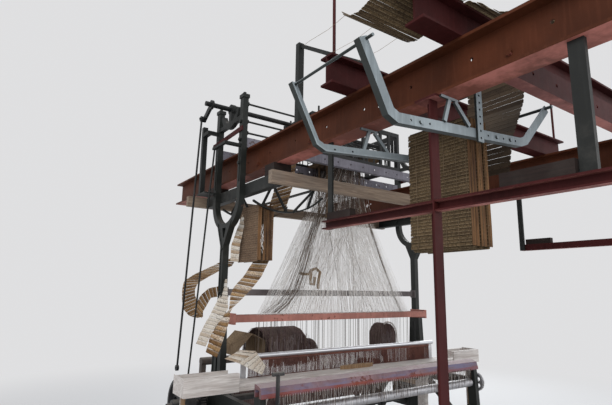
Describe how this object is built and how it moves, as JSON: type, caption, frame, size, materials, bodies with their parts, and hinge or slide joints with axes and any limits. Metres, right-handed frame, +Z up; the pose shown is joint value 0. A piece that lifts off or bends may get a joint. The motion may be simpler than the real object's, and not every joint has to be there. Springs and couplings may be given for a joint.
{
  "type": "power loom",
  "caption": "Card-driven power loom: forked iron uprights and a steel gantry carry the pattern head, card stacks and harness above the sley, reed and rollers.",
  "frame": {"origin": "on the floor, at the centre of the footprint of the whole part", "axes": "+X along the weft towards the weaver's right as seen from the front, +Y from the weaver's place towards the warp beam, +Z up"},
  "size_m": [3.06, 4.25, 3.31],
  "materials": {
    "frame_iron": "worn dark green-black paint",
    "dark_steel": "dull dark paint",
    "girder_red": "matt red oxide paint, dusty",
    "rail_red": "matt dark red paint",
    "breast_paint": "faded purple grey paint, rust at the lip",
    "stretcher_grey": "dull grey",
    "comber_paint": "faded pink red paint",
    "plank_wood": "weathered grey",
    "block_wood": "dark oiled",
    "machine_rail_paint": "faded lilac grey paint",
    "cradle_paint": "pale blue grey paint",
    "card_near": "aged pattern card",
    "card_left": "aged pattern card",
    "card_loose": "aged pattern card",
    "head_iron": "oily black",
    "head_wood": "oiled",
    "wire": "dull",
    "cord": "waxed linen",
    "cord_dark": "waxed linen, dirty",
    "lingo_iron": "dull dark",
    "yarn": "brown wool yarn",
    "sley_wood": "dark red brown",
    "cap_steel": "worn bright",
    "reed_wire": "rusty",
    "stick_wood": "ash, oiled",
    "drive_iron": "oily, dusty",
    "roller_steel": "dull",
    "cloth": "dusty off-white",
    "beam_iron": "dull brown"
  },
  "bodies": {
    "frame": {"side_frame_left": "frame_iron", "side_frame_right": "frame_iron", "post_left": "frame_iron", "post_right": "frame_iron", "cross_rails": "frame_iron", "fork_beams": "dark_steel", "tower_brace": "dark_steel", "rod_tower": "dark_steel", "lower_cradle": "dark_steel", "tie_rods": "dark_steel", "rail_hangers": "dark_steel", "bearing_brackets": "dark_steel", "girder_left": "girder_red", "girder_right": "girder_red", "cross_beams": "rail_red", "columns": "rail_red", "lower_rails": "rail_red", "link_bars": "rail_red", "breast_beam": "breast_paint", "upper_stretcher": "stretcher_grey", "comber_board": "comber_paint", "cross_planks": "plank_wood", "spacer_blocks": "block_wood", "rail_planks": "block_wood", "machine_rails": "machine_rail_paint", "cradle_hoops": "cradle_paint", "cradle_hangers": "cradle_paint", "card_stack_near": "card_near", "card_stack_left": "card_left", "card_chain": "card_loose", "machine_frame": "head_iron", "hook_boards": "head_wood", "hooks": "wire", "needles": "wire", "harness_cords": "cord", "heddles": "cord_dark", "lingoes": "lingo_iron", "yarn_bundles": "yarn", "back_rest": "beam_iron"},
    "griffe": {"griffe": "head_iron"},
    "batten": {"cylinder_batten": "head_iron"},
    "cylinder": {"card_cylinder": "head_wood"},
    "lift_shaft": {"lift_shaft": "head_iron"},
    "lift_rod": {"lift_rod": "head_iron"},
    "sley": {"sley": "sley_wood", "reed_cap": "cap_steel", "reed": "reed_wire"},
    "picking_left": {"picking_stick_left": "stick_wood"},
    "picking_right": {"picking_stick_right": "stick_wood"},
    "shuttle": {"shuttle": "stick_wood"},
    "crank": {"crankshaft": "drive_iron", "drive_pulley": "drive_iron"},
    "tappet": {"tappet_shaft": "drive_iron"},
    "arms": {"crank_arms": "stick_wood"},
    "take_up": {"take_up_roller": "roller_steel"},
    "cloth": {"cloth_roller": "cloth"},
    "warp": {"warp_beam": "beam_iron", "warp_yarn": "yarn"},
    "handle": {"starting_handle": "drive_iron"},
    "brake": {"brake_lever": "drive_iron"}
  },
  "joints": [
    {"name": "lift_turn", "type": "hinge", "parent": "frame", "child": "lift_shaft", "pos_m": [0, 0.71, 3.075], "axis": [-1, 0, 0], "range_deg": [0, 20]},
    {"name": "griffe_lift", "type": "slide", "parent": "frame", "child": "griffe", "axis": [0, 0, 1], "range_m": [0, 0.058]},
    {"name": "rod_swing", "type": "hinge", "parent": "lift_shaft", "child": "lift_rod", "pos_m": [-1.31, 0.853, 2.99], "axis": [1, 0, 0], "range_deg": [0, 20]},
    {"name": "batten_swing", "type": "hinge", "parent": "frame", "child": "batten", "pos_m": [-0.425, 0.71, 3.136], "axis": [0, -1, 0], "range_deg": [0, 7]},
    {"name": "cylinder_turn", "type": "hinge", "parent": "batten", "child": "cylinder", "pos_m": [-0.475, 0.71, 2.89], "axis": [0, 1, 0], "continuous": true},
    {"name": "sley_rock", "type": "hinge", "parent": "frame", "child": "sley", "pos_m": [0, 0.475, 0.14], "axis": [1, 0, 0], "range_deg": [0, 12]},
    {"name": "picking_left_swing", "type": "hinge", "parent": "sley", "child": "picking_left", "pos_m": [-1.492, 0.395, 0.3], "axis": [0, 1, 0], "range_deg": [0, 20]},
    {"name": "picking_right_swing", "type": "hinge", "parent": "sley", "child": "picking_right", "pos_m": [1.492, 0.395, 0.3], "axis": [0, 1, 0], "range_deg": [-20, 0]},
    {"name": "shuttle_run", "type": "slide", "parent": "sley", "child": "shuttle", "axis": [1, 0, 0], "range_m": [-1.28, 1.28]},
    {"name": "crank_turn", "type": "hinge", "parent": "frame", "child": "crank", "pos_m": [0, 0.895, 0.72], "axis": [1, 0, 0], "continuous": true},
    {"name": "tappet_turn", "type": "hinge", "parent": "frame", "child": "tappet", "pos_m": [0, 0.895, 0.504], "axis": [1, 0, 0], "continuous": true},
    {"name": "arm_swing", "type": "hinge", "parent": "crank", "child": "arms", "pos_m": [0, 0.955, 0.72], "axis": [1, 0, 0], "continuous": true},
    {"name": "take_up_turn", "type": "hinge", "parent": "frame", "child": "take_up", "pos_m": [0, 0.075, 0.79], "axis": [1, 0, 0], "continuous": true},
    {"name": "cloth_turn", "type": "hinge", "parent": "frame", "child": "cloth", "pos_m": [0, 0.085, 0.56], "axis": [1, 0, 0], "continuous": true},
    {"name": "warp_turn", "type": "hinge", "parent": "frame", "child": "warp", "pos_m": [0, 1.345, 0.6], "axis": [1, 0, 0], "continuous": true},
    {"name": "handle_swing", "type": "hinge", "parent": "frame", "child": "handle", "pos_m": [-1.029, 0.035, 0.64], "axis": [1, 0, 0], "range_deg": [0, 12]},
    {"name": "brake_press", "type": "hinge", "parent": "frame", "child": "brake", "pos_m": [-1.315, 0.665, 0.42], "axis": [1, 0, 0], "range_deg": [0, 2.5]}
  ],
  "couplings": [
    {"joint": "griffe_lift", "follows": "lift_turn", "m_per_rad": 0.165},
    {"joint": "rod_swing", "follows": "lift_turn", "ratio": 1},
    {"joint": "tappet_turn", "follows": "crank_turn", "ratio": -0.5},
    {"joint": "arm_swing", "follows": "crank_turn", "ratio": -1}
  ]
}
